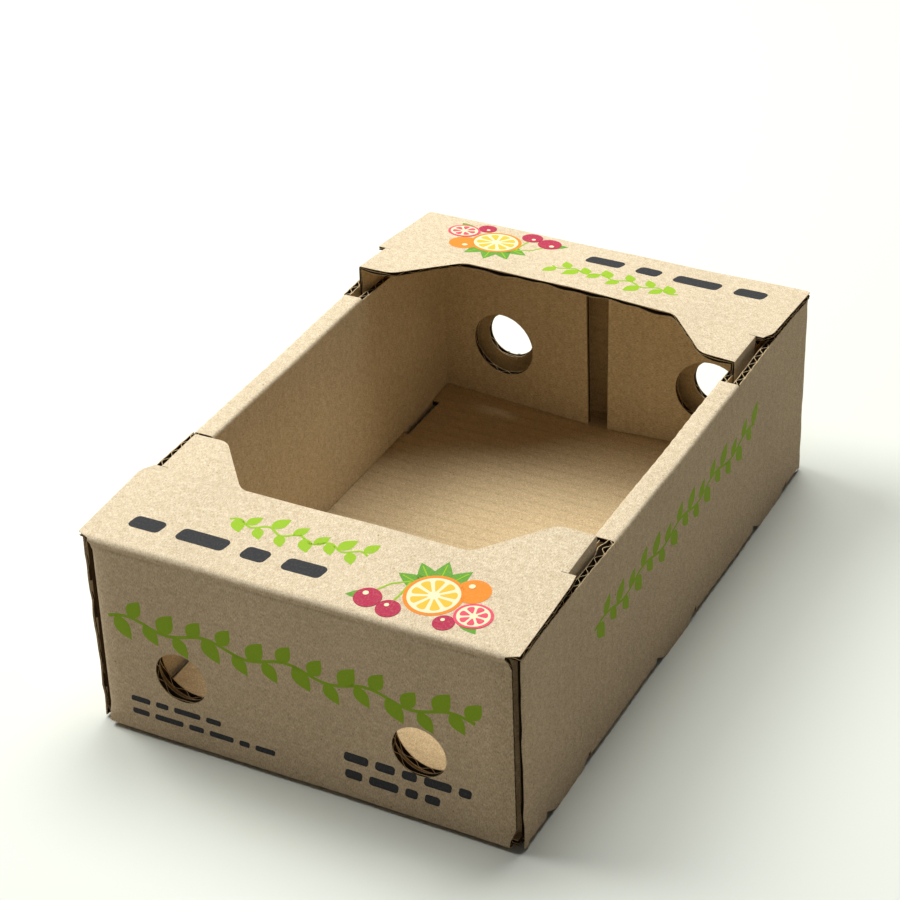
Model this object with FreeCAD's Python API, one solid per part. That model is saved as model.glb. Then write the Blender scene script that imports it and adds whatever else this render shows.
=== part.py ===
"""Cardboard tray box: one folded corrugated blank, with a tuck flange over each end.

Frame, in millimetres: X across the tray, Y along it with the front end at -Y, Z up.
The origin is on the ground under the middle of the tray, which stands on six lugs.
The blank is one sheet. Its two end flanges swing on their creases, so each is a solid
of its own, and everything else is one solid with a rounded fold between its panels.
"""
import FreeCAD
import Part
import math
import os

os.makedirs("parts", exist_ok=True)

# Driving dimensions
tray_width = 180.0            # over the outer side panels
tray_length = 280.0           # over the end panels
board = 2.8                   # thickness of the corrugated board
end_height = 85.8             # floor underside to the top of the end panels' crease
side_height = 84.0            # floor underside to the top of the side walls' rim
rim_length = 119.0            # length of the folded-over rim
layer_gap = 0.3               # play between two layers that lie against each other
tab_play = 0.3                # play on each side of a lock tab in the hollow side wall

end_panel_inset = 4.8         # from the side of the tray to the cut side of an end panel
vent_hole_diameter = 22.0     # round holes in the end panels
inner_hole_diameter = 30.0    # the larger holes behind them, in the inner flaps
vent_hole_spacing = 100.0     # from centre to centre, across an end
vent_hole_height = 32.0       # floor underside to the centre of the holes
inner_flap_slit = 10.0        # between the two inner flaps of an end
corner_flap_length = 22.0     # reach of an outer side panel behind the end panel
inner_shoulder_drop = 1.0     # from the rim down to the inner panel's shoulder beside it
inner_top_drop = 2.8          # from the rim down to the top of the inner flaps
shoulder_length = 26.0        # run over which the shoulder falls to the inner flaps' top

lug_drop = 1.5                # how far the lugs reach below the floor underside
lug_length = 38.0             # of a lug where it leaves the side panel
lug_foot_length = 22.0        # of the edge that it stands on
lug_corner_radius = 5.0
lug_spacing = 100.0           # between lug centres along a side
lugs_per_side = 3
slot_length = 30.0            # floor slot beside each lug
slot_margin = 5.1             # of the slot that stays open inside the inner panel
slot_tab_play = 0.5           # at each end of an inner panel's tab in its slot

ear_depth = 49.0              # end face to the inner edge of a flange's ears
wing_depth = 72.5             # end face to the inner edge of a flange's wings
middle_depth = 47.2           # end face to the bottom of the flange's cut-out
cutout_bottom_width = 98.6    # straight bottom of the cut-out, to the sharp corners
cutout_top_width = 142.8      # mouth of the cut-out, to the sharp corners
cutout_radius = 8.0           # of all four corners of the cut-out
ear_relief = 0.8              # slanting cut where an ear leaves the crease
tab_depth = 27.0              # of a lock tab, below its fold
tab_taper = 2.5               # by which each side of a tab narrows to its tip
tab_corner_radius = 6.0
front_flange_rise = 3.9       # degrees by which the closed front flange springs up from level
back_flange_rise = 6.5        # and the closed back flange, as high as its higher wing

# Places that follow from them
half_width = tray_width / 2
half_length = tray_length / 2
floor_bottom = lug_drop
floor_top = floor_bottom + board
side_top = floor_bottom + side_height
end_top = floor_bottom + end_height
hollow = board + 2 * tab_play
outer_face_in = half_width - board
inner_face_out = outer_face_in - hollow
inner_face_in = inner_face_out - board
end_face_in = half_length - board
corner_flap_out = end_face_in - layer_gap
corner_flap_in = corner_flap_out - board
inner_flap_out = corner_flap_in - layer_gap
inner_flap_in = inner_flap_out - board
half_end_panel = half_width - end_panel_inset
half_rim = rim_length / 2
hole_x = vent_hole_spacing / 2
hole_z = floor_bottom + vent_hole_height
inner_top = side_top - inner_top_drop
lug_places = [lug_spacing * (i - (lugs_per_side - 1) / 2) for i in range(lugs_per_side)]

# A flange turns about the middle of its rounded outer crease
lower_rise = math.radians(min(front_flange_rise, back_flange_rise))
pivot_inset = board * (1 - math.cos(math.pi / 4))
pivot_y = half_length - pivot_inset
pivot_z = end_top - pivot_inset


def flange_underside(y):
    """Height of the lower flange's underside at y from the middle, when it is closed."""
    climb = math.tan(lower_rise) * (pivot_y - y)
    return pivot_z + climb - (board - pivot_inset) / math.cos(lower_rise)


def rounded_wire(corners, place):
    """Closed wire through corners (a, b, radius), each mapped to space by place(a, b)."""
    edges = []
    count = len(corners)
    ends = []
    for i, (a, b, radius) in enumerate(corners):
        before = corners[i - 1]
        after = corners[(i + 1) % count]
        into = (before[0] - a, before[1] - b)
        out = (after[0] - a, after[1] - b)
        into_length = math.hypot(*into)
        out_length = math.hypot(*out)
        into = (into[0] / into_length, into[1] / into_length)
        out = (out[0] / out_length, out[1] / out_length)
        half_angle = math.acos(into[0] * out[0] + into[1] * out[1]) / 2
        if radius == 0:
            ends.append((place(a, b), place(a, b), None))
            continue
        run = radius / math.tan(half_angle)
        bisector = (into[0] + out[0], into[1] + out[1])
        scale = radius * (1 / math.sin(half_angle) - 1) / math.hypot(*bisector)
        start = place(a + into[0] * run, b + into[1] * run)
        middle = place(a + bisector[0] * scale, b + bisector[1] * scale)
        end = place(a + out[0] * run, b + out[1] * run)
        ends.append((start, end, middle))
    for i, (start, end, middle) in enumerate(ends):
        if middle:
            edges.append(Part.Arc(start, middle, end).toShape())
        following = ends[(i + 1) % count][0]
        edges.append(Part.LineSegment(end, following).toShape())
    return Part.Wire(edges)


def plate_x(x_from, x_to, corners):
    """Panel that faces along X, with its outline as (y, z, radius) corners."""
    wire = rounded_wire(corners, lambda y, z: FreeCAD.Vector(x_from, y, z))
    return Part.Face(wire).extrude(FreeCAD.Vector(x_to - x_from, 0, 0))


def plate_z(z_from, z_to, corners):
    """Level panel, with its outline as (x, y, radius) corners."""
    wire = rounded_wire(corners, lambda x, y: FreeCAD.Vector(x, y, z_from))
    return Part.Face(wire).extrude(FreeCAD.Vector(0, 0, z_to - z_from))


def block(x_from, x_to, y_from, y_to, z_from, z_to):
    """Rectangular panel between two corners."""
    corner = FreeCAD.Vector(x_from, y_from, z_from)
    return Part.makeBox(x_to - x_from, y_to - y_from, z_to - z_from, corner)


def fold(direction, centre, start, end, angle_from, angle_to):
    """Rounded fold: a sector one board thick about the inner corner at centre.

    direction is the axis the fold runs along, and centre gives the other two
    coordinates in X, Y, Z order. Angles are in degrees from the first of them.
    """
    def place(angle, radius, along):
        first = centre[0] + radius * math.cos(math.radians(angle))
        second = centre[1] + radius * math.sin(math.radians(angle))
        if direction == "x":
            return FreeCAD.Vector(along, first, second)
        if direction == "y":
            return FreeCAD.Vector(first, along, second)
        return FreeCAD.Vector(first, second, along)

    hub = place(0, 0, start)
    arc_start = place(angle_from, board, start)
    arc_middle = place((angle_from + angle_to) / 2, board, start)
    arc_end = place(angle_to, board, start)
    wire = Part.Wire([
        Part.LineSegment(hub, arc_start).toShape(),
        Part.Arc(arc_start, arc_middle, arc_end).toShape(),
        Part.LineSegment(arc_end, hub).toShape(),
    ])
    return Part.Face(wire).extrude(place(0, 0, end) - hub)


def round_hole(x, z, diameter, y_from, y_to):
    """Cutter for a round hole along Y."""
    start = FreeCAD.Vector(x, y_from, z)
    return Part.makeCylinder(diameter / 2, y_to - y_from, start, FreeCAD.Vector(0, 1, 0))


def mirrored(shape, x, y):
    """Copy of a shape mirrored across the tray, along it, or both."""
    if x < 0:
        shape = shape.mirror(FreeCAD.Vector(0, 0, 0), FreeCAD.Vector(1, 0, 0))
    if y < 0:
        shape = shape.mirror(FreeCAD.Vector(0, 0, 0), FreeCAD.Vector(0, 1, 0))
    return shape


def floor_panel():
    """Floor, cut back from the lugs and slotted beside each of them."""
    panel = block(-outer_face_in, outer_face_in, -end_face_in, end_face_in, floor_bottom, floor_top)
    half_lug = lug_length / 2 + layer_gap
    half_slot = slot_length / 2
    for side in (-1, 1):
        for y in lug_places:
            clear = block(outer_face_in - layer_gap, half_width,
                          y - half_lug, y + half_lug, 0, floor_top)
            slot = block(inner_face_in - slot_margin, half_width,
                         y - half_slot, y + half_slot, 0, floor_top)
            panel = panel.cut(mirrored(clear.fuse(slot), side, 1))
    return panel


def outer_side():
    """Outer panel of the +X side wall, with its lugs, floor fold and corner flaps."""
    corner_top = flange_underside(half_length) - layer_gap
    relief_height = side_top + layer_gap - flange_underside(pivot_y)
    relief_y = pivot_y - relief_height / math.tan(lower_rise)
    relief_top = flange_underside(corner_flap_in) - layer_gap
    half_outline = [
        (corner_flap_in, floor_top, 0),
        (corner_flap_in, relief_top, 0),
        (relief_y, side_top, 0),
        (half_rim, side_top, 0),
        (half_rim, side_top - board, 0),
    ]
    outline = half_outline + [(-y, z, radius) for y, z, radius in half_outline[::-1]]
    pieces = [plate_x(outer_face_in, half_width, outline)]

    # Fold to the floor, in lengths between the lugs
    half_lug = lug_length / 2
    stops = [-corner_flap_in]
    for y in lug_places:
        stops += [y - half_lug - layer_gap, y + half_lug + layer_gap]
    stops.append(corner_flap_in)
    for start, end in zip(stops[::2], stops[1::2]):
        pieces.append(fold("y", (outer_face_in, floor_top), start, end, -90, 0))

    # Lugs: the side panel runs on past the fold and stands on the ground
    half_foot = lug_foot_length / 2
    for y in lug_places:
        pieces.append(plate_x(outer_face_in, half_width, [
            (y - half_lug, floor_top, 0),
            (y - half_foot, 0, lug_corner_radius),
            (y + half_foot, 0, lug_corner_radius),
            (y + half_lug, floor_top, 0),
        ]))

    # Corner flaps, folded in behind the end panels
    flap_bottom = floor_top + layer_gap
    for end in (-1, 1):
        corner = fold("z", (outer_face_in, corner_flap_in), flap_bottom, corner_top, 0, 90)
        flap = block(half_width - corner_flap_length, outer_face_in,
                     corner_flap_in, corner_flap_out, flap_bottom, corner_top)
        pieces.append(mirrored(corner.fuse(flap), 1, end))
    return pieces


def rim():
    """Level rim of the +X side wall with its two folds."""
    level = side_top - board
    return [
        fold("y", (outer_face_in, level), -half_rim, half_rim, 0, 90),
        block(inner_face_out, outer_face_in, -half_rim, half_rim, level, side_top),
        fold("y", (inner_face_out, level), -half_rim, half_rim, 90, 180),
    ]


def inner_side():
    """Inner panel of the +X side wall, locked in the floor slots, with its end flaps."""
    bottom = floor_top + layer_gap
    half_outline = [
        (inner_flap_in, bottom, 0),
        (inner_flap_in, inner_top, 0),
        (half_rim + shoulder_length, inner_top, 0),
        (half_rim, side_top - inner_shoulder_drop, 0),
        (half_rim, side_top - board, 0),
    ]
    outline = half_outline + [(-y, z, radius) for y, z, radius in half_outline[::-1]]
    pieces = [plate_x(inner_face_in, inner_face_out, outline)]
    half_tab = slot_length / 2 - slot_tab_play
    for y in lug_places:
        pieces.append(block(inner_face_in, inner_face_out,
                            y - half_tab, y + half_tab, floor_bottom, bottom))
    for end in (-1, 1):
        corner = fold("z", (inner_face_in, inner_flap_in), bottom, inner_top, 0, 90)
        flap = block(inner_flap_slit / 2, inner_face_in,
                     inner_flap_in, inner_flap_out, bottom, inner_top)
        hole = round_hole(hole_x, hole_z, inner_hole_diameter, inner_flap_in, inner_flap_out)
        flap = flap.cut(hole)
        pieces.append(mirrored(corner.fuse(flap), 1, end))
    return pieces


def end_wall():
    """End panel at +Y with its vent holes, its floor fold and half of its top crease."""
    panel = block(-half_end_panel, half_end_panel, end_face_in, half_length, floor_top, end_top - board)
    for x in (-hole_x, hole_x):
        panel = panel.cut(round_hole(x, hole_z, vent_hole_diameter, end_face_in, half_length))
    return [
        panel,
        fold("x", (end_face_in, floor_top), -half_end_panel, half_end_panel, -90, 0),
        fold("x", (end_face_in, end_top - board), -half_end_panel, half_end_panel, 0, 45),
    ]


def tray_body():
    """The folded blank without its two end flanges, as one solid."""
    pieces = []
    for side in (-1, 1):
        for piece in outer_side() + rim() + inner_side():
            pieces.append(mirrored(piece, side, 1))
    for end in (-1, 1):
        for piece in end_wall():
            pieces.append(mirrored(piece, 1, end))
    return floor_panel().multiFuse(pieces).removeSplitter()


def flange(rise):
    """End flange at +Y, risen by so many degrees: half a crease, notched cover, two lock tabs."""
    level = end_top - board
    tab_out = outer_face_in - tab_play
    tab_in = tab_out - board
    half_outline = [
        (half_end_panel, end_face_in, 0),
        (half_width, end_face_in - ear_relief, 0),
        (half_width, half_length - ear_depth, 0),
        (tab_in, half_length - ear_depth, 0),
        (tab_in, half_length - wing_depth, 0),
        (cutout_top_width / 2, half_length - wing_depth, cutout_radius),
        (cutout_bottom_width / 2, half_length - middle_depth, cutout_radius),
    ]
    outline = half_outline + [(-x, y, radius) for x, y, radius in half_outline[::-1]]
    pieces = [fold("x", (end_face_in, level), -half_end_panel, half_end_panel, 45, 90)]
    tab_near = half_length - ear_depth - layer_gap
    tab_far = half_length - wing_depth
    for side in (-1, 1):
        bend = fold("y", (tab_in, level), tab_far, tab_near, 0, 90)
        tab = plate_x(tab_in, tab_out, [
            (tab_far, level, 0),
            (tab_near, level, 0),
            (tab_near - tab_taper, level - tab_depth, tab_corner_radius),
            (tab_far + tab_taper, level - tab_depth, tab_corner_radius),
        ])
        pieces += [mirrored(bend, side, 1), mirrored(tab, side, 1)]
    cover = plate_z(level, end_top, outline).multiFuse(pieces).removeSplitter()
    cover.rotate(FreeCAD.Vector(0, pivot_y, pivot_z), FreeCAD.Vector(-1, 0, 0), rise)
    return cover


nodes = {
    "tray_body": tray_body(),
    "front_flange": mirrored(flange(front_flange_rise), 1, -1),
    "back_flange": flange(back_flange_rise),
}
for name, shape in nodes.items():
    solids = shape.Solids
    shape = solids[0] if len(solids) == 1 else shape
    print(name, "solids", len(solids), "valid", shape.isValid(), "volume", round(shape.Volume))
    shape.exportStep(f"parts/{name}.step")
print("flange pivot", round(pivot_y, 3), round(pivot_z, 3))
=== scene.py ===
"""Cardboard tray box, dressed as the die-cut corrugated blank that it is folded from."""
import math

import bpy
import numpy as np
from mathutils import Matrix, Vector
from mathutils.geometry import delaunay_2d_cdt


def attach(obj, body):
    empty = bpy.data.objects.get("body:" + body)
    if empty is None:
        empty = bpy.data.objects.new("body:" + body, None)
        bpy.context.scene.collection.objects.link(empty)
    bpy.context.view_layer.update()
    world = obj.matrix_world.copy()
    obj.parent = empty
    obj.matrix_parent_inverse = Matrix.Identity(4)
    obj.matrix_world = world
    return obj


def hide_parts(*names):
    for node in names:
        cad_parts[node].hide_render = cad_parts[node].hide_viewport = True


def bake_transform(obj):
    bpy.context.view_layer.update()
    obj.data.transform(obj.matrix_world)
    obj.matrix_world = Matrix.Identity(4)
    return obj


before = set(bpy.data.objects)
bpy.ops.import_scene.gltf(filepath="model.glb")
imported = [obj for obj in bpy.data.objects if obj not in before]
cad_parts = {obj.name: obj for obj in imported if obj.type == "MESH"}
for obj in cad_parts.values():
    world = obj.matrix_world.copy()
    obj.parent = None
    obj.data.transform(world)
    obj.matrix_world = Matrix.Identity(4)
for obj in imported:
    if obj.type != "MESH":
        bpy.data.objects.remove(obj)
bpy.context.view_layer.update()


# ---- Corrugated board ----
# The tray is one sheet of single-wall B-flute board: two brown kraft liners with a wavy
# medium glued between them. Its flutes run across the tray. Lengths here are millimetres.
board = 2.8
liner = 0.3
medium = 0.25
flute_pitch = 6.7
flute_height = board / 2 - liner - medium / 2
to_metres = 0.001


def flute_wave(along):
    """Depth of the medium's middle, a sine wave of one flute pitch, and its half thickness."""
    turn = 2 * np.pi * along / flute_pitch
    slope = flute_height * 2 * np.pi / flute_pitch * np.cos(turn)
    return board / 2 + flute_height * np.sin(turn), medium / 2 * np.sqrt(1 + slope ** 2)


def colour(code):
    """Linear colour of an sRGB hex value, by the sRGB curve."""
    value = np.array([int(code[i:i + 2], 16) for i in (1, 3, 5)]) / 255
    value = np.where(value <= 0.04045, value / 12.92, ((value + 0.055) / 1.055) ** 2.4)
    return (*value.tolist(), 1.0)


def add_node(tree, kind, inputs=(), **settings):
    """Adds a node with its own settings, and gives each input a value or links it."""
    made = tree.nodes.new(kind)
    for name, value in settings.items():
        setattr(made, name, value)
    for socket, value in dict(inputs).items():
        if isinstance(value, bpy.types.NodeSocket):
            tree.links.new(value, made.inputs[socket])
        else:
            made.inputs[socket].default_value = value
    return made


def kraft(name, tones, washboard):
    """Unbleached kraft paper: matte, with short fibres, soft clouds, specks and flute lines.

    The tones are the paper's darker and lighter brown and its specks. Fibres lie along the
    paper web, so across the flutes. washboard is how strongly the flutes show through, as
    bumps and as painted shade in their valleys.
    """
    material = bpy.data.materials.new(name)
    material.use_nodes = True
    tree = material.node_tree
    shader = tree.nodes["Principled BSDF"]
    blank = add_node(tree, "ShaderNodeUVMap", uv_map="blank").outputs["UV"]
    # clouds of 2 to 4 mm, as pulp settles on the wire
    cloud_place = add_node(tree, "ShaderNodeMapping", {"Vector": blank, "Scale": (420, 300, 1)})
    clouds = add_node(tree, "ShaderNodeTexNoise", {
        "Vector": cloud_place.outputs[0], "Scale": 1.0, "Detail": 4.0, "Roughness": 0.7})
    # fibres are 0.03 mm wide and drawn as streaks of 0.4 by 1.2 mm, so that they show
    fibre_place = add_node(tree, "ShaderNodeMapping", {"Vector": blank, "Scale": (2400, 850, 1)})
    fibres = add_node(tree, "ShaderNodeTexNoise", {
        "Vector": fibre_place.outputs[0], "Scale": 1.0, "Detail": 3.0, "Roughness": 0.75})
    blotches = add_node(tree, "ShaderNodeTexNoise", {
        "Vector": blank, "Scale": 28.0, "Detail": 2.0})
    speck_place = add_node(tree, "ShaderNodeMapping", {"Vector": blank, "Scale": (900, 700, 1)})
    specks = add_node(tree, "ShaderNodeTexNoise", {
        "Vector": speck_place.outputs[0], "Scale": 1.0, "Detail": 1.0})
    speck_mask = add_node(tree, "ShaderNodeMapRange", {
        "Value": specks.outputs["Fac"], "From Min": 0.70, "From Max": 0.80, "To Max": 0.7})
    split = add_node(tree, "ShaderNodeSeparateXYZ", {"Vector": blank})
    drift = add_node(tree, "ShaderNodeMath", {
        0: blotches.outputs["Fac"], 1: 0.4}, operation="MULTIPLY")
    turn = add_node(tree, "ShaderNodeMath", {
        0: split.outputs["Y"], 1: 2 * math.pi / (flute_pitch * to_metres),
        2: drift.outputs[0]}, operation="MULTIPLY_ADD")
    ripple = add_node(tree, "ShaderNodeMath", {0: turn.outputs[0]}, operation="SINE")

    shade = add_node(tree, "ShaderNodeMix", {
        0: clouds.outputs["Fac"], 6: colour(tones[0]), 7: colour(tones[1])}, data_type="RGBA")
    fleck = add_node(tree, "ShaderNodeMapRange", {
        "Value": fibres.outputs["Fac"], "From Min": 0.25, "From Max": 0.75,
        "To Min": 0.55, "To Max": 1.40})
    wide = add_node(tree, "ShaderNodeMapRange", {
        "Value": blotches.outputs["Fac"], "From Min": 0.3, "From Max": 0.7,
        "To Min": 0.96, "To Max": 1.03})
    # painted shade: a narrow darker line in each flute's valley, where the bump dips
    painted_valley_shade = add_node(tree, "ShaderNodeMapRange", {
        "Value": ripple.outputs[0], "From Min": -1.0, "From Max": -0.5,
        "To Min": 1 - 0.16 * washboard, "To Max": 1.0})
    gain = add_node(tree, "ShaderNodeMath", {
        0: fleck.outputs[0], 1: wide.outputs[0]}, operation="MULTIPLY")
    gain = add_node(tree, "ShaderNodeMath", {
        0: gain.outputs[0], 1: painted_valley_shade.outputs[0]}, operation="MULTIPLY")
    toned = add_node(tree, "ShaderNodeVectorMath", {
        0: shade.outputs[2], "Scale": gain.outputs[0]}, operation="SCALE")
    dotted = add_node(tree, "ShaderNodeMix", {
        0: speck_mask.outputs[0], 6: toned.outputs[0], 7: colour(tones[2])}, data_type="RGBA")
    tree.links.new(dotted.outputs[2], shader.inputs["Base Color"])
    shader.inputs["Roughness"].default_value = 0.88
    shader.inputs["Specular IOR Level"].default_value = 0.2
    shader.inputs["IOR"].default_value = 1.47

    height = add_node(tree, "ShaderNodeMath", {
        0: ripple.outputs[0], 1: 0.30 * washboard, 2: fibres.outputs["Fac"]},
        operation="MULTIPLY_ADD")
    height = add_node(tree, "ShaderNodeMath", {
        0: clouds.outputs["Fac"], 1: 0.8, 2: height.outputs[0]}, operation="MULTIPLY_ADD")
    bump = add_node(tree, "ShaderNodeBump", {
        "Height": height.outputs[0], "Strength": 0.6, "Distance": 0.0002})
    tree.links.new(bump.outputs[0], shader.inputs["Normal"])
    return material


# the outer liner is the paler and smoother paper; flute lines show more on the inner one
outer_paper = kraft("kraft_liner_outer", ("#BAA37B", "#F8EAD0", "#86663E"), 0.15)
inner_paper = kraft("kraft_liner_inner", ("#BAA076", "#E6CFA6", "#80603C"), 0.5)
# painted shade: the medium and the liners' glued sides are the same kraft, darkened to stand for
# the shade in the hollows between the papers
painted_shade_medium = kraft("kraft_medium_painted_shade", ("#4E3B23", "#5E482C", "#3A2A18"), 0.0)
painted_shade_glued_side = kraft("kraft_glued_side_painted_shade", ("#3C2D1A", "#483620", "#2C2012"), 0.0)
# a cut edge shows the torn, lighter inside of the paper
cut_paper = kraft("kraft_cut_edge", ("#BBA27A", "#D9C39B", "#7A5E3A"), 0.0)


# ---- Tray body: floor, walls, corner flaps and inner flaps ----
# One piece of the blank: floor, hollow side walls folded over a flat rim, end panels, and
# the flaps folded across the ends. Slots and lugs lock it with no glue.
half_width = 90.0
half_length = 140.0
ground_gap = 1.5              # the lugs hold the floor off the ground
side_height = 84.0
rim_width = 9.0
end_height = 85.8
fold_radius = 1.3             # of the outer face round a fold
crease_radius = 2.3           # and round the wider creases of the end flanges
half_end = 85.2               # half of an end panel's width
half_rim = 59.5               # half of a rim's length, where the blank is slit
slit = 0.4
wall_top = ground_gap + side_height
rim_corner = half_width + side_height
middle_of_rim = rim_corner + rim_width / 2
inner_corner = rim_corner + rim_width
end_corner = half_length + end_height
corner_flap_y = 136.9         # outer face of the corner flaps
corner_flap_row = 158.9       # their free edges, in the flat blank
inner_flap_y = 131.0          # the inner flaps' face that shows inside
inner_flap_row = 207.0
valley_radius = 0.4           # of the face that shows, where the inner panel turns to its flap
bend_reach = board + 0.1      # from a fold's corner to where every layer is flat again
lug_places = (-100.0, 0.0, 100.0)
lug_reach = 19.15             # half of the length cut loose round a lug
vent_x = 50.0
vent_radius = 11.0
hole_radius = 15.0            # of the inner flaps' holes, behind the vents
hole_height = 32.0            # of the vents' middles over the floor
inner_lean = 2.4              # the inner panels stand this much further in at the floor
corner_lean = 0.8             # and this much at the upright corners
corner_pinch = 4.2            # depth of the groove behind an upright corner's ridge
pressed_back = 1.6            # the end panels' cut sides, from their face
score_depth = 0.35            # of the line pressed just under an end panel's top crease
score_inset = 3.4             # from the crease to that line
crumple_height = 0.35         # of the uneven ridge along an upright corner
peeled = 1.3                  # the inner liner stands off a side wall's cut top in one notch
peeled_y = -66.0
flap_springs = {-1: 3.0, 1: 6.5}      # the inner flaps' free edges stand off the end panels
fold_ripple = 0.1             # the flutes' bulges along a fold that crosses them


def rows(reach, step, folds):
    """Even rows to both sides of the middle, with seven close ones through each fold."""
    half = np.arange(0, reach + step, step)
    for place, width in folds:
        half = half[np.abs(half - place) > width]
        half = np.concatenate([half, np.linspace(place - width, place + width, 7)])
    half = np.unique(np.round(half, 6))
    return np.concatenate([-half[:0:-1], half])


def rounded(corners, steps=6):
    """Closed outline through (across, along, radius) corners, each turned as an arc."""
    outline = []
    for i, (across, along, radius) in enumerate(corners):
        here = np.array([across, along], float)
        into = np.array(corners[i - 1][:2], float) - here
        out = np.array(corners[(i + 1) % len(corners)][:2], float) - here
        if radius == 0:
            outline.append(here[None])
            continue
        into /= np.linalg.norm(into)
        out /= np.linalg.norm(out)
        half = np.arccos(np.clip(into @ out, -1, 1)) / 2
        middle = into + out
        centre = here + middle / np.linalg.norm(middle) * radius / np.sin(half)
        start = here + into * radius / np.tan(half) - centre
        end = here + out * radius / np.tan(half) - centre
        turn = np.arctan2(start[0] * end[1] - start[1] * end[0], start @ end)
        angle = np.linspace(0, turn, steps + 1)[:, None]
        across_start = np.array([-start[1], start[0]])
        outline.append(centre + start * np.cos(angle) + across_start * np.sin(angle))
    return np.concatenate(outline)


def circle(across, along, radius, squash=1.0):
    """Round outline of 40 points, or an oval one that is squashed along the second axis."""
    angle = np.linspace(0, 2 * np.pi, 40, endpoint=False)
    return np.stack([across + radius * np.cos(angle),
                     along + radius * squash * np.sin(angle)], 1)


def four_ways(quadrant):
    """Outline of a blank that is the same in all four quarters, from the points of one."""
    right = np.concatenate([quadrant, (quadrant * [1, -1])[::-1]])
    return np.concatenate([right, (right * [-1, 1])[::-1]])


def die_cut(outlines, across_rows, along_rows):
    """Flat sheet inside the first outline and outside the others, as points and triangles.

    The rows cross in a lattice. Outlines are split where they cross a row, everything is
    counted in rows, and the lattice and the outlines are triangulated together.
    """
    lines = (across_rows, along_rows)
    points, faces, taken = [], [], []
    for outline in outlines:
        ahead = np.roll(outline, -1, axis=0)
        if np.sum(outline[:, 0] * ahead[:, 1] - outline[:, 1] * ahead[:, 0]) < 0:
            outline = outline[::-1]
            ahead = np.roll(outline, -1, axis=0)
        edge = [np.arange(len(outline))]
        share = [np.zeros(len(outline))]
        for axis in (0, 1):
            run = ahead[:, axis] - outline[:, axis]
            run = np.where(np.abs(run) < 1e-9, np.nan, run)
            cut = (lines[axis][None] - outline[:, axis, None]) / run[:, None]
            found = np.argwhere((cut > 1e-4) & (cut < 1 - 1e-4))
            edge.append(found[:, 0])
            share.append(cut[found[:, 0], found[:, 1]])
        edge = np.concatenate(edge)
        share = np.concatenate(share)
        order = np.lexsort((share, edge))
        edge, share = edge[order], share[order]
        spot = outline[edge] + share[:, None] * (ahead - outline)[edge]
        spot = np.stack([np.interp(spot[:, i], lines[i], np.arange(len(lines[i])))
                         for i in (0, 1)], 1)
        gap_before = np.hypot(*(spot - np.roll(spot, 1, axis=0)).T)
        gap_after = np.hypot(*(spot - np.roll(spot, -1, axis=0)).T)
        spot = spot[(share == 0) | ((gap_before > 0.04) & (gap_after > 0.04))]
        start = sum(len(p) for p in points)
        faces.append(list(range(start, start + len(spot))))
        points.append(spot)
        step = (np.roll(spot, -1, axis=0) - spot)[:, None] * np.linspace(0, 1, 6)[None, :, None]
        along_edge = (spot[:, None] + step).reshape(-1, 2)
        nearest = np.rint(along_edge)
        close = np.hypot(*(along_edge - nearest).T) < 0.33
        taken.append(nearest[close].astype(int))
    free = np.ones((len(lines[0]), len(lines[1])), bool)
    taken = np.concatenate(taken)
    free[taken[:, 0], taken[:, 1]] = False
    points.append(np.argwhere(free).astype(float))
    points = np.concatenate(points)
    made, _, triangles, _, _, inside = delaunay_2d_cdt(points.tolist(), [], faces, 0, 1e-6)
    triangles = np.array([t for t, owners in zip(triangles, inside) if list(owners) == [0]])
    used, triangles = np.unique(triangles, return_inverse=True)
    made = np.array([p[:] for p in made])[used]
    flat = np.stack([np.interp(made[:, i], np.arange(len(lines[i])), lines[i])
                     for i in (0, 1)], 1)
    return flat, triangles.reshape(-1, 3)


def add_sheet(name, cut, near, far, place, papers):
    """Closed sheet between two depths of a cut blank, folded by place(across, along, depth).

    Its near and far faces are the blank's triangles, and a wall joins them along each edge
    that only one triangle has. papers are the materials of the near face, the far face and
    the cut edges. The UV map is the flat blank in metres.
    """
    flat, triangles = cut
    count = len(flat)
    both = [place(flat[:, 0], flat[:, 1], np.broadcast_to(depth, count)) for depth in (near, far)]
    points = np.concatenate(both) * to_metres
    edges = np.concatenate([triangles[:, [0, 1]], triangles[:, [1, 2]], triangles[:, [2, 0]]])
    forward = edges[:, 0] * count + edges[:, 1]
    backward = edges[:, 1] * count + edges[:, 0]
    rim = edges[~np.isin(forward, backward)]
    walls = np.stack([rim[:, 0], rim[:, 1], rim[:, 1] + count, rim[:, 0] + count], 1)
    mesh = bpy.data.meshes.new(name)
    faces = triangles[:, ::-1].tolist() + (triangles + count).tolist() + walls.tolist()
    mesh.from_pydata(points.tolist(), [], faces)
    corner = np.zeros(len(mesh.loops), np.int32)
    mesh.loops.foreach_get("vertex_index", corner)
    mesh.uv_layers.new(name="blank").data.foreach_set(
        "uv", (flat[corner % count] * to_metres).astype(np.float32).ravel())
    mesh.polygons.foreach_set("use_smooth", np.ones(len(mesh.polygons), bool))
    mesh.set_sharp_from_angle(angle=math.radians(40))
    for paper in papers:
        mesh.materials.append(paper)
    if len(papers) > 1:
        sides = np.repeat([0, 1, 2], [len(triangles), len(triangles), len(walls)])
        mesh.polygons.foreach_set("material_index", sides.astype(np.int32))
    piece = bpy.data.objects.new(name, mesh)
    bpy.context.scene.collection.objects.link(piece)
    return piece


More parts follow.
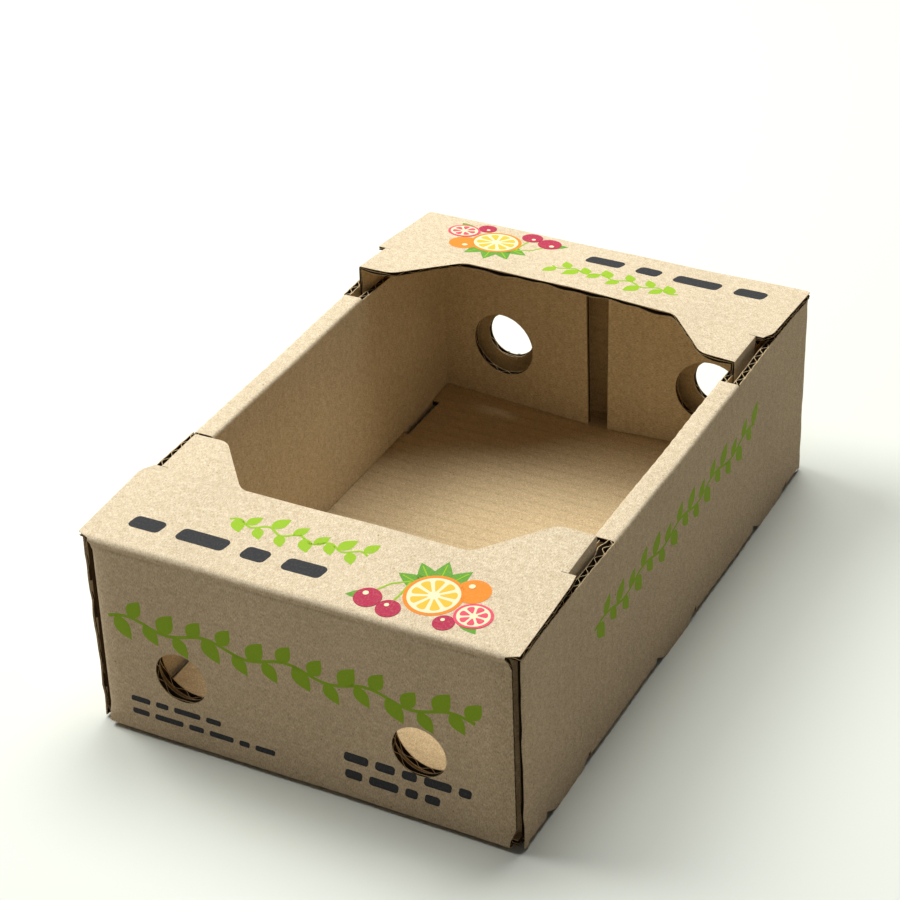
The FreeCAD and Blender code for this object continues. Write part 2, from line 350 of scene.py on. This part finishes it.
def folded(along, depth, corners):
    """Places a sheet that runs along the first axis and turns a right angle at each corner.

    Returns (first, second) coordinates. depth is measured from the outer face toward the
    second axis. A corner is (distance, turn, radius), and turn 1 folds toward the inner face.
    Within one radius of a corner the outer face follows a quarter circle, and the layers
    under it follow smaller ones, down to a tight crease on the inside of the fold.
    """
    depth = np.broadcast_to(depth, along.shape)
    heading = np.array([1.0, 0.0])
    inward = np.array([0.0, 1.0])
    corner_point = np.zeros(2)
    last = 0.0
    point = np.stack([along, depth], -1).astype(float)
    for distance, turn, radius in corners:
        corner_point = corner_point + heading * (distance - last)
        bend = np.maximum(radius, turn * depth + 0.08)
        angle = np.clip((along - distance + bend) / (2 * bend), 0, 1) * np.pi / 2
        reach = bend - turn * depth
        arc = (corner_point + bend[..., None] * (turn * inward - heading)
               + (reach * np.sin(angle))[..., None] * heading
               - (turn * reach * np.cos(angle))[..., None] * inward)
        heading, inward = turn * inward, -turn * heading
        straight = (corner_point + (along - distance)[..., None] * heading
                    + depth[..., None] * inward)
        point = np.where((along > distance - bend)[..., None], arc, point)
        point = np.where((along > distance + bend)[..., None], straight, point)
        last = distance
    return point[..., 0], point[..., 1]


def ramp(value, start, end):
    """Share of the way from start to end, held between 0 and 1."""
    return np.clip((value - start) / (end - start), 0, 1)


def smooth(share):
    """Share with soft ends: 3 times its square less 2 times its cube."""
    return share * share * (3 - 2 * share)


def settled(x, y, z):
    """The blank's slight waviness: slow sine waves of up to a third of a millimetre."""
    dx = 0.22 * np.sin(y / 31 + z / 47) + 0.10 * np.sin(y / 9.5 + 1.3)
    dy = 0.20 * np.sin(x / 27 + z / 39 + 0.8) + 0.08 * np.sin(x / 8.3)
    dz = 0.16 * np.sin(x / 33 + y / 52 + 2.1) + 0.10 * np.sin(x / 11 + 0.4)
    return np.stack([x + dx, y + dy, z + dz * ramp(z, 0, 40)], -1)


def fold_tray(across, along, depth, loose=0.0):
    """Folds the flat tray blank.

    across runs from the middle of the floor up the side wall, over the rim and down the
    inner panel, and along runs from the middle of the floor up the end panel. The flaps turn
    round upright corners. Beyond the rim's ends, and at the lugs, the panels stay flat. The
    outer face swells and sinks with the flutes along the folds that cross them. loose is how
    far this layer has come off in the front right notch.
    """
    # a and b are distances from the tray's two middle lines
    a, b = np.abs(across), np.abs(along)
    swell = np.zeros(len(a))
    for corner in (half_width, rim_corner, inner_corner):
        swell += np.exp(-((a - corner) / 2.0) ** 2)
    depth = depth + fold_ripple * swell * np.sin(2 * np.pi * along / flute_pitch)
    x, z = folded(a, depth, [(half_width, 1, fold_radius), (rim_corner, 1, fold_radius),
                             (inner_corner, 1, fold_radius)])
    z = z + ground_gap
    y = b.copy()

    beside_rim = b > half_rim + slit / 2
    outer_edge = beside_rim & (a > rim_corner - bend_reach) & (a < middle_of_rim)
    to_lug = np.min(np.abs(along[:, None] - np.array(lug_places)), axis=1)
    lug = (to_lug < lug_reach) & (a > half_width - 2) & (a < half_width + 4)
    foot = (b > corner_flap_y - bend_reach + 0.1) & (a > half_width - 1) & (a < half_width + 4)
    flat = outer_edge | lug | foot
    x = np.where(flat, half_width - depth, x)
    z = np.where(flat, ground_gap + a - half_width, z)
    inner_edge = beside_rim & (a > middle_of_rim) & (a < inner_corner + bend_reach)
    x = np.where(inner_edge, half_width - rim_width + depth, x)
    z = np.where(inner_edge, wall_top + inner_corner - a, z)

    peel = loose * (outer_edge & (across > 0)) * np.exp(-((along - peeled_y) / 4) ** 2)
    peel = peel * ramp(z, wall_top - 5, wall_top) ** 2
    x = x - peel
    z = z + 0.3 * peel

    first, second = folded(b, depth, [(corner_flap_y, 1, fold_radius)])
    corner = (a > half_width - 1) & (a < middle_of_rim) & (b > corner_flap_y - bend_reach + 0.1)
    x = np.where(corner, half_width - second, x)
    y = np.where(corner, first, y)
    # behind the corner's crumpled ridge the flap is pinched in, which leaves a dark groove
    groove = ramp(x, half_width - 6, half_width - 4) * ramp(x, half_width - 0.4, half_width - 1.4)
    pinch = smooth(groove) * (b > corner_flap_y - 0.5)
    crumple = np.sin(z / 2.9 + 2 * np.sin(z / 11)) + 0.6 * np.sin(z / 1.3 + along)
    upright = (a > half_width - 1) & (a < rim_corner - 1)
    near_corner = np.exp(-((b - corner_flap_y) / 1.5) ** 2) * upright
    y = y - np.where(corner, corner_pinch * pinch, 0)
    y = y + crumple_height * crumple * near_corner
    x = x - 0.10 * np.abs(crumple) * near_corner

    first, second = folded(b, depth, [(inner_flap_y, -1, valley_radius)])
    inner = (a > middle_of_rim) & (b > inner_flap_y - valley_radius)
    x = np.where(inner, half_width - rim_width + second, x)
    swing = np.where(along > 0, flap_springs[1], flap_springs[-1])
    flap_length = inner_flap_row - inner_flap_y
    y = np.where(inner, first - swing * (half_width - rim_width - x).clip(0) / flap_length, y)
    end_share = smooth(ramp(b, inner_flap_y - 36, inner_flap_y))
    lean = inner_lean + (corner_lean - inner_lean) * end_share
    lean = lean * ramp(z, wall_top - 3, ground_gap + 3)
    x = x - np.where(a > inner_corner, lean, 0)

    first, second = folded(b, depth, [(half_length, 1, fold_radius),
                                      (end_corner, 1, crease_radius)])
    end = (a < half_width - 2) & (b > half_length - bend_reach)
    # one cut side of each end panel stands nearer to its corner than the other
    spread = np.where(across * along < 0, 1.9, -1.0 * ramp(second, 0, 80))
    between = ramp(b, half_length + 3, half_length + 8) * ramp(b, end_corner - 1, end_corner - 6)
    x = np.where(end, a + spread * ramp(a, half_end - 13.2, half_end) * between, x)
    edge_share = ramp(a, half_end - 3.5, half_end) ** 2 * between
    # the line pressed under the crease dents the outer face, and the inner one stays flat
    line = np.exp(-((b - end_corner + score_inset) / 0.8) ** 2) * ramp(depth, board, 0)
    score = score_depth * line * (1 + 0.4 * np.sin(a / 9))
    y = np.where(end, first - edge_share * (pressed_back - 0.55 * depth) - score, y)
    z = np.where(end, second + ground_gap, z)
    return settled(x * np.sign(across), y * np.sign(along), z)


# one quarter of the cut, from the top of an end panel round to the middle of a side
quadrant = np.array([
    # side of the end panel
    (half_end, end_corner),
    (half_end, half_length - bend_reach),
    (half_width - bend_reach, half_length - bend_reach),
    (half_width - bend_reach, corner_flap_y - bend_reach),
    # foot of the upright corner
    (half_width + 1.4, corner_flap_y - bend_reach),
    (half_width + 1.4, corner_flap_y - bend_reach + 0.2),
    (half_width - 0.4, corner_flap_y - bend_reach + 0.2),
    (half_width - 0.4, corner_flap_y + 1.3),
    (half_width + 1.4, corner_flap_y + bend_reach),
    # corner flap
    (half_width + 3.1, corner_flap_y + bend_reach),
    (half_width + 3.1, corner_flap_row),
    (172.64, corner_flap_row),
    (172.64, corner_flap_y + bend_reach),
    # cut top of the side wall beyond the rim, then across the rim's end
    (173.04, corner_flap_y - bend_reach),
    (rim_corner, 120.0),
    (rim_corner, half_rim + slit),
    (rim_corner - bend_reach, half_rim + slit),
    (rim_corner - bend_reach, half_rim),
    (inner_corner + bend_reach, half_rim),
    (inner_corner + bend_reach, half_rim + slit),
    # inner panel with its flap, and a lock tab and a half along its lower edge
    (inner_corner + 1.0, half_rim + slit),
    (inner_corner + 2.8, half_rim + 26),
    (inner_corner + 2.8, inner_flap_row),
    (263.9, inner_flap_row),
    (263.9, 114.5),
    (267.0, 114.5),
    (267.0, 85.5),
    (263.9, 85.5),
    (263.9, 14.5),
    (267.0, 14.5),
])
tray_outline = four_ways(quadrant)
# the two back inner flaps don't meet in the middle: the left one is cut shorter
back_edge = tray_outline[:, 1] == inner_flap_row
tray_outline[back_edge & (tray_outline[:, 0] < 0), 1] = inner_flap_row - 2.1
tray_outline[back_edge & (tray_outline[:, 0] > 0), 1] = inner_flap_row + 1.1
tray_outlines = [tray_outline]
for side in (-1, 1):
    for end in (-1, 1):
        tray_outlines.append(circle(side * vent_x, end * (half_length + hole_height),
                                    vent_radius))
        tray_outlines.append(circle(side * (inner_corner + side_height - hole_height),
                                    end * (inner_flap_y + 31), hole_radius))
    # a lug with its fold cut free to both sides, and the slot that its lock tab goes into
    for place in lug_places:
        cut = rounded([
            (86.9, -19.3, 0), (86.9, -15, 0), (75.9, -15, 0), (75.9, 15, 0), (86.9, 15, 0),
            (86.9, 19.3, 0), (93.1, 19.3, 0), (93.1, 19.0, 0), (88.5, 11, 5), (88.5, -11, 5),
            (93.1, -19.0, 0), (93.1, -19.3, 0),
        ])
        tray_outlines.append(cut * [side, 1] + [0, place])

# close rows at the folds; the outer liner has four rows to a flute and the medium eight
wall_folds = [(c, bend_reach) for c in (half_width, rim_corner, inner_corner)]
end_folds = [(inner_flap_y, valley_radius), (corner_flap_y + 1.2, 3.2),
             (half_length + bend_reach, bend_reach), (end_corner - score_inset - 0.3, 1.5),
             (end_corner, bend_reach - 0.8)]
liner_cut = die_cut(tray_outlines, rows(270, 5.5, wall_folds),
                    rows(228, flute_pitch / 4, end_folds))
back_cut = die_cut(tray_outlines, rows(270, 5.5, wall_folds),
                   rows(228, 5.5, end_folds + [(-peeled_y, 6)]))
wave_cut = die_cut(tray_outlines, rows(270, 11, wall_folds), rows(228, flute_pitch / 8, []))
middle, half_thick = flute_wave(wave_cut[0][:, 1])

tray_liner = add_sheet("tray_outer_liner", liner_cut, 0, liner, fold_tray,
                       (outer_paper, painted_shade_glued_side, cut_paper))
tray_back = add_sheet("tray_inner_liner", back_cut, board - liner, board,
                      lambda *place: fold_tray(*place, peeled),
                      (painted_shade_glued_side, inner_paper, cut_paper))
tray_wave = add_sheet("tray_medium", wave_cut, middle - half_thick, middle + half_thick,
                      fold_tray, (painted_shade_medium, painted_shade_medium, cut_paper))
for piece in (tray_liner, tray_back, tray_wave):
    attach(piece, "tray")
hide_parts("tray_body")


# ---- Flanges ----
# The end of the blank beyond each end panel's top crease. It folds in over the end, with a
# cut-out for the hand, two ears that lie on the side walls and two tabs tucked into them.
flange_length = 72.5
ear_row = end_corner + 49.0                   # where the ears end and the tabs start
wing_row = end_corner + flange_length
middle_row = end_corner + 47.2                # the cut-out's edge
tab_fold = 86.9
tab_end = 116.7
tab_radius = 0.5
pivot_inset = crease_radius * (1 - math.sqrt(0.5))
flange_top = ground_gap + end_height
flange_rises = {-1: 3.9, 1: 6.5}              # degrees by which the closed flanges spring up
wing_lifts = {-1: (-1.5, 0.0), 1: (0.0, -5.4)}      # of the left and right wings
wing_draws = {-1: (3.2, 0.6), 1: (0.3, 2.5)}        # and how far they are drawn inwards
pressed_share = 0.36                          # of the board's thickness, along the cut edges
pressed_reach = 2.5


def to_edge(flat, outline):
    """Distance of each point from an outline, by its nearest point on each straight edge."""
    ahead = np.roll(outline, -1, axis=0) - outline
    from_start = flat[:, None] - outline[None]
    share = np.sum(from_start * ahead, -1) / np.sum(ahead * ahead, -1)
    nearest = from_start - np.clip(share, 0, 1)[..., None] * ahead
    return np.sqrt(np.min(np.sum(nearest ** 2, -1), axis=1))


def flange_folder(end):
    """Folding of the flange at the end -1 or 1: the crease's upper half, cover and tabs.

    Past the ears' inner edge the cover's sides turn down into the tabs. The flange is laid
    level, turned about the middle of its crease by its rise, and twisted so that its wings
    stand as high as they do. The one at -1 is turned half round, so its faces stay outward.
    The die has pressed the board thinner along the cut edges, by an uneven amount.
    """
    def place(across, along, depth):
        a = np.abs(across)
        flat = np.stack([across, along], 1)
        pressed = np.exp(-(to_edge(flat, flange_outline) / pressed_reach) ** 2)
        clear = ramp(along, end_corner + 4, end_corner + 12)
        sag = 0.16 * np.sin(across / 6.1 + end) + 0.12 * np.sin(across / 2.3 + along / 3)
        depth = depth * (1 - (pressed_share - sag) * pressed * clear)
        y, z = folded(along, depth, [(half_length, 1, fold_radius),
                                     (end_corner, 1, crease_radius)])
        z = z + ground_gap
        x = a.copy()
        first, second = folded(a, depth, [(tab_fold, 1, tab_radius)])
        tab = (along > ear_row + 0.1) & (a > tab_fold - bend_reach)
        x = np.where(tab, first, x)
        z = np.where(tab, flange_top - second, z)
        pivot_y, pivot_z = half_length - pivot_inset, flange_top - pivot_inset
        from_y, from_z = y - pivot_y, z - pivot_z
        rise = math.radians(flange_rises[end])
        y = pivot_y + from_y * math.cos(rise) + from_z * math.sin(rise)
        z = pivot_z + from_z * math.cos(rise) - from_y * math.sin(rise)
        x, y = x * np.sign(across) * end, y * end
        left, right = wing_lifts[end]
        inward = np.clip((half_length - np.abs(y)) / flange_length, 0, 1.2) ** 1.3
        z = z + inward * np.where(x < 0, -left * x, right * x) / half_width
        left, right = wing_draws[end]
        drawn = smooth(ramp(np.abs(y), half_length - 43, half_length - 49))
        x = x * (1 - drawn * np.where(x < 0, left, right) / half_width)
        return settled(x, y, z)
    return place


# half of a flange as (across, along, corner radius), from its crease round to the cut-out
half_flange = [
    (half_end, end_corner, 0),
    (half_width, end_corner + 2.4, 0),
    (half_width, ear_row, 0),
    (tab_fold - bend_reach, ear_row, 0),
    (tab_fold - bend_reach, ear_row + 0.3, 0),
    (tab_fold + 1, ear_row + 0.3, 0),
    (tab_end, ear_row + 2.8, 6),
    (tab_end, wing_row - 2.5, 6),
    (tab_fold + 1, wing_row, 0),
    (71.4, wing_row, 8),
    (49.3, middle_row, 8),
]
flange_outline = rounded(half_flange + [(-a, b, r) for a, b, r in half_flange[::-1]])
flange_across = rows(120, 2.5, [(tab_fold, bend_reach)])
flange_along = np.concatenate([np.linspace(end_corner, end_corner + bend_reach, 6),
                               np.arange(end_corner + 5, wing_row + 3, 2.5)])
wave_along = np.arange(end_corner, wing_row + 2, flute_pitch / 8)
flange_cut = die_cut([flange_outline], flange_across, flange_along)
flange_wave_cut = die_cut([flange_outline], flange_across, wave_along)
middle, half_thick = flute_wave(flange_wave_cut[0][:, 1])
for end, name in ((-1, "front"), (1, "back")):
    place = flange_folder(end)
    top = add_sheet(f"{name}_flange_outer_liner", flange_cut, 0, liner, place,
                    (outer_paper, painted_shade_glued_side, cut_paper))
    under = add_sheet(f"{name}_flange_inner_liner", flange_cut, board - liner, board, place,
                      (painted_shade_glued_side, inner_paper, cut_paper))
    wave = add_sheet(f"{name}_flange_medium", flange_wave_cut, middle - half_thick,
                     middle + half_thick, place, (painted_shade_medium, painted_shade_medium, cut_paper))
    for piece in (top, under, wave):
        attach(piece, f"{name}_flap")
    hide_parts(f"{name}_flange")


# The inner liner is bunched into each top crease and spreads again as the flange opens, so a
# strip of it bends from the end panel to the flange. It lies a hair over the liner.
half_strip = 83.5
strip_reach = 9.0
strip_outline = np.array([(side * half_strip, end_corner + far * strip_reach)
                          for side, far in ((-1, -1), (1, -1), (1, 1), (-1, 1))])
strip_cut = die_cut([strip_outline], np.arange(-87, 88, 5.8), np.concatenate([
    [end_corner - 10, end_corner - 6], np.linspace(end_corner - 3, end_corner + 3, 25),
    [end_corner + 6, end_corner + 10]]))
for end, name in ((-1, "front"), (1, "back")):
    place = flange_folder(end)

    def across_crease(across, along, depth):
        """The end panel's fold below the crease and the flange's beyond it."""
        below = fold_tray(across * end, along * end, depth)
        return np.where((along > end_corner)[:, None], place(across, along, depth), below)

    strip = add_sheet(f"{name}_crease_inner_liner", strip_cut, board - 0.05, board + 0.08,
                      across_crease, (painted_shade_glued_side, inner_paper, cut_paper))
    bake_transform(strip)


# ---- Print ----
# Water-based inks laid on by a rubber plate, in films far thinner than the paper: a leafy
# border in light green, rows of dashes in blue-black, and a small group of cut fruit.
# Places on a panel are millimetres to the right and up as it is read.
film = 0.05


def ink(name, tone, cover):
    """Flexo ink on kraft: matte, a little thin in a fine grain, where the paper's tone shows
    through.
    """
    material = bpy.data.materials.new(name)
    material.use_nodes = True
    tree = material.node_tree
    shader = tree.nodes["Principled BSDF"]
    blank = add_node(tree, "ShaderNodeUVMap", uv_map="blank").outputs["UV"]
    grain_place = add_node(tree, "ShaderNodeMapping", {"Vector": blank, "Scale": (1500, 900, 1)})
    grain = add_node(tree, "ShaderNodeTexNoise", {
        "Vector": grain_place.outputs[0], "Scale": 1.0, "Detail": 4.0, "Roughness": 0.7})
    thin = add_node(tree, "ShaderNodeMapRange", {
        "Value": grain.outputs["Fac"], "From Min": 0.48, "From Max": 0.78,
        "To Min": 0.0, "To Max": 1 - cover})
    mixed = add_node(tree, "ShaderNodeMix", {
        0: thin.outputs[0], 6: colour(tone), 7: colour("#DAC49F")}, data_type="RGBA")
    tree.links.new(mixed.outputs[2], shader.inputs["Base Color"])
    shader.inputs["Roughness"].default_value = 0.75
    shader.inputs["Specular IOR Level"].default_value = 0.3
    bump = add_node(tree, "ShaderNodeBump", {
        "Height": grain.outputs["Fac"], "Strength": 0.5, "Distance": 0.00015})
    tree.links.new(bump.outputs[0], shader.inputs["Normal"])
    return material


green_ink = ink("ink_light_green", "#92BC14", 0.72)
dark_ink = ink("ink_blue_black", "#14171C", 0.92)
leaf_ink = ink("ink_leaf_green", "#5E9A2C", 0.70)
orange_ink = ink("ink_orange", "#F08A24", 0.75)
yellow_ink = ink("ink_yellow", "#F6BE3C", 0.75)
crimson_ink = ink("ink_crimson", "#B0244A", 0.75)
pink_ink = ink("ink_pink", "#E4506A", 0.75)
cream_ink = ink("ink_cream", "#F7E6BE", 0.85)


def leaf(u, w, length, width, angle):
    """Pointed leaf outline from its stalk at (u, w): two sine arcs along a line."""
    share = np.linspace(0, 1, 9)
    half = width / 2 * np.sin(np.pi * share ** 0.8)
    along = np.concatenate([share, share[-2:0:-1]]) * length
    beside = np.concatenate([half, -half[-2:0:-1]])
    return np.stack([u + along * math.cos(angle) - beside * math.sin(angle),
                     w + along * math.sin(angle) + beside * math.cos(angle)], 1)


def stalk(points, width):
    """Band of even width along a line of points."""
    points = np.array(points, float)
    run = np.gradient(points, axis=0)
    beside = np.stack([-run[:, 1], run[:, 0]], 1) / np.linalg.norm(run, axis=1)[:, None]
    return np.concatenate([points + beside * width / 2, (points - beside * width / 2)[::-1]])


def garland(start, end, level, height):
    """Leafy border: a stem that swings as a sine wave, with a leaf on alternate sides."""
    u = np.linspace(start, end, 60)
    swing = height * 0.13 * np.sin((u - start) / (end - start) * np.pi * 9)
    shapes = [stalk(np.stack([u, level + swing], 1), height * 0.09)]
    count = int((end - start) / (height * 0.42))
    for i in range(count):
        place = start + (i + 0.5) * (end - start) / count
        base = level + height * 0.13 * math.sin((place - start) / (end - start) * math.pi * 9)
        side = 1 if i % 2 else -1
        size = height * (0.66 if i % 3 else 0.78)
        shapes.append(leaf(place, base, size, size * 0.62, side * math.radians(56)))
    return shapes


def dashes(start, end, level, height, lengths):
    """Row of slanted dashes of the given lengths, spread evenly from start to end."""
    gap = (end - start - sum(lengths)) / max(len(lengths) - 1, 1)
    shapes, place, lean = [], start, height * 0.2
    for length in lengths:
        low, high = level - height / 2, level + height / 2
        shapes.append(rounded([
            (place, low, height * 0.3), (place + length - lean, low, height * 0.3),
            (place + length, high, height * 0.3), (place + lean, high, height * 0.3)], 3))
        place += length + gap
    return shapes


def segments(u, w, inner, outer, count, start=0.0, span=2 * math.pi):
    """Wedges of a cut citrus fruit, each a rounded triangle about the middle."""
    shapes = []
    for i in range(count):
        low = start + span * i / count + 0.10
        high = start + span * (i + 1) / count - 0.10
        mid = (low + high) / 2
        shapes.append(rounded([
            (u + inner * math.cos(mid), w + inner * math.sin(mid), 0.3),
            (u + outer * math.cos(low), w + outer * math.sin(low), 0.9),
            (u + outer * 1.04 * math.cos(mid), w + outer * 1.04 * math.sin(mid), 3.0),
            (u + outer * math.cos(high), w + outer * math.sin(high), 0.9)], 3))
    return shapes


def add_print(name, shapes, layer, to_blank, place, material, body):
    """Ink film of all the shapes, cut one by one and laid on the sheet's outer face.

    A later layer stands half a film higher, so that it covers the ones below it.
    """
    flats, triangles, count = [], [], 0
    for shape in shapes:
        shape = to_blank(shape)
        grids = [np.arange(shape[:, i].min() - 4, shape[:, i].max() + 4.1, 3.0) for i in (0, 1)]
        flat, faces = die_cut([shape], *grids)
        flats.append(flat)
        triangles.append(faces + count)
        count += len(flat)
    cut = (np.concatenate(flats), np.concatenate(triangles))
    piece = add_sheet(name, cut, -film * (0.8 + 0.5 * layer), film, place, (material,))
    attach(piece, body)


def on_front(shape):
    """(right, up) on the front end panel, in blank coordinates."""
    return np.stack([shape[:, 0], -(half_length - ground_gap + shape[:, 1])], 1)


def on_right(shape):
    """(right, up) on the right side wall, in blank coordinates."""
    return np.stack([half_width - ground_gap + shape[:, 1], shape[:, 0]], 1)


def half_turn(to_blank):
    """The same print on the opposite panel: the blank turned half round."""
    return lambda shape: -to_blank(shape)


def on_flange(shape):
    """(right, away from the crease) on a flange, in blank coordinates."""
    return np.stack([-shape[:, 0], end_corner + shape[:, 1]], 1)


small_rows = (dashes(-74, -34, 17.5, 2.6, [9, 6, 12, 7]) + dashes(-74, -11, 11.5, 2.6,
              [8, 13, 7, 11, 5, 9]))
bold_rows = (dashes(18, 71, 21.0, 4.2, [11, 9, 7, 12, 6]) + dashes(18, 58, 13.0, 4.2,
             [8, 13, 6, 7]))
for name, to_blank in (("front", on_front), ("back", half_turn(on_front))):
    add_print(f"{name}_print_border", garland(-80, 73, 54, 15), 0, to_blank, fold_tray,
              green_ink, "tray")
    add_print(f"{name}_print_rows", small_rows + bold_rows, 0, to_blank, fold_tray,
              dark_ink, "tray")
for name, to_blank in (("right", on_right), ("left", half_turn(on_right))):
    add_print(f"{name}_print_border", garland(-77, 78, 57, 13), 0, to_blank, fold_tray,
              green_ink, "tray")

fan_angles = [math.radians(t) for t in (28, 62, 98, 132, 165)]
fan = [leaf(47, 22, 17, 8, t) for t in fan_angles]
fan += [leaf(28, 12, 10, 5, math.radians(200)), leaf(62, 13, 11, 5.5, math.radians(-35))]
veins = [stalk([(47 + r * math.cos(t), 22 + r * math.sin(t)) for r in (4, 9, 15)], 0.5)
         for t in fan_angles]
fruit = [
    ("leaves", fan, leaf_ink),
    ("veins", veins + [stalk([(27, 13.5), (31, 20), (37, 24)], 0.8),
                       stalk([(36, 10.5), (37, 17), (37, 24)], 0.8)], green_ink),
    ("oranges", [circle(48, 20, 11), circle(60, 27, 6.5)], orange_ink),
    ("pith", [circle(48, 20, 9.6)], cream_ink),
    ("wedges", segments(48, 20, 1.5, 8.2, 9), yellow_ink),
    ("berries", [circle(27, 10, 5.2), circle(36.5, 7.5, 4.6), circle(58, 8, 4.0)], crimson_ink),
    ("pink_slice", [circle(66, 15, 7.2, 0.92)], pink_ink),
    ("pink_pith", [circle(66, 15, 6.1, 0.92)], cream_ink),
    ("pink_wedges", segments(66, 15, 1.0, 5.0, 7), pink_ink),
    ("shine", [circle(25.3, 11.8, 1.1), circle(35.2, 9.0, 0.9), circle(57, 9.3, 0.8),
               circle(58.4, 29.3, 1.2)], cream_ink),
]
for end, name in ((-1, "front"), (1, "back")):
    place = flange_folder(end)
    body = f"{name}_flap"
    add_print(f"{name}_flange_sprig", garland(-42, 16, 30, 11), 0, on_flange, place,
              green_ink, body)
    add_print(f"{name}_flange_dashes", dashes(-76, 7, 15.5, 7.0, [15, 22, 12, 18]), 0,
              on_flange, place, dark_ink, body)
    for layer, (part, shapes, material) in enumerate(fruit):
        add_print(f"{name}_flange_{part}", shapes, layer, on_flange, place, material, body)


# ---- Floor, light and camera ----
# A plain pale floor and surround under two large soft lamps, one above to the left and one
# above behind. The floor is paler, and the surround brighter, to the camera than to the tray.
def pale_to_camera(tree, dim, pale):
    """Mixes two shaders by ray: pale for what is seen or mirrored, dim for what it lights."""
    rays = add_node(tree, "ShaderNodeLightPath")
    seen = add_node(tree, "ShaderNodeMath", {
        0: rays.outputs["Is Camera Ray"], 1: rays.outputs["Is Glossy Ray"]}, operation="MAXIMUM")
    seen = add_node(tree, "ShaderNodeMath", {
        0: seen.outputs[0], 1: rays.outputs["Is Transmission Ray"]}, operation="MAXIMUM")
    return add_node(tree, "ShaderNodeMixShader", {
        0: seen.outputs[0], 1: dim, 2: pale}).outputs[0]


floor_mesh = bpy.data.meshes.new("floor")
floor_mesh.from_pydata([(-6, -6, 0), (6, -6, 0), (6, 6, 0), (-6, 6, 0)], [], [(0, 1, 2, 3)])
floor = bpy.data.objects.new("floor", floor_mesh)
bpy.context.scene.collection.objects.link(floor)
floor_paint = bpy.data.materials.new("pale_floor")
floor_paint.use_nodes = True
tree = floor_paint.node_tree
pale = tree.nodes["Principled BSDF"]
pale.inputs["Base Color"].default_value = colour("#E6EAE2")
pale.inputs["Roughness"].default_value = 0.9
dim = add_node(tree, "ShaderNodeBsdfDiffuse", {"Color": colour("#BDB4A6")})
tree.links.new(pale_to_camera(tree, dim.outputs[0], pale.outputs[0]),
               tree.nodes["Material Output"].inputs["Surface"])
floor_mesh.materials.append(floor_paint)

world = bpy.data.worlds.new("studio")
world.use_nodes = True
bpy.context.scene.world = world
tree = world.node_tree
dim = add_node(tree, "ShaderNodeBackground", {"Color": (1, 0.93, 0.84, 1), "Strength": 0.05})
pale = add_node(tree, "ShaderNodeBackground", {"Color": (1, 1, 1, 1), "Strength": 1.0})
tree.links.new(pale_to_camera(tree, dim.outputs[0], pale.outputs[0]),
               tree.nodes["World Output"].inputs["Surface"])

# name, place and width in metres, and watts
lamps = (("left_light", (-1.2, 0.0, 1.65), 1.2, 33),
         ("back_light", (-0.16, 0.7, 1.9), 1.3, 29))
for name, spot, size, power in lamps:
    lamp = bpy.data.objects.new(name, bpy.data.lights.new(name, "AREA"))
    lamp.data.shape = "DISK"
    lamp.data.size = size
    lamp.data.energy = power
    lamp.data.color = (1.0, 1.0, 0.98)
    lamp.location = spot
    lamp.rotation_euler = (-Vector(spot)).to_track_quat("-Z", "Y").to_euler()
    bpy.context.scene.collection.objects.link(lamp)

# the camera is fitted to corner points of the photo
azimuth, elevation, roll = map(math.radians, (28.63, 32.72, -2.23))
camera_place = Vector((0.3989, -0.7474, 0.6105))
focal_pixels = 2539
frame_pixels = 900
sensor_width = 36
forward = -Vector((math.sin(azimuth) * math.cos(elevation),
                   -math.cos(azimuth) * math.cos(elevation), math.sin(elevation)))
right = forward.cross(Vector((0, 0, 1))).normalized()
down = forward.cross(right)
turned_right = math.cos(roll) * right - math.sin(roll) * down
turned_down = math.sin(roll) * right + math.cos(roll) * down
camera = bpy.data.objects.new("camera", bpy.data.cameras.new("camera"))
camera.data.sensor_width = sensor_width
camera.data.lens = focal_pixels / frame_pixels * sensor_width
camera.data.clip_start = 0.01
camera.matrix_world = Matrix.Translation(camera_place) @ Matrix(
    (turned_right, -turned_down, -forward)).transposed().to_4x4()
bpy.context.scene.collection.objects.link(camera)
bpy.context.scene.camera = camera
bpy.context.scene.view_settings.view_transform = "Standard"
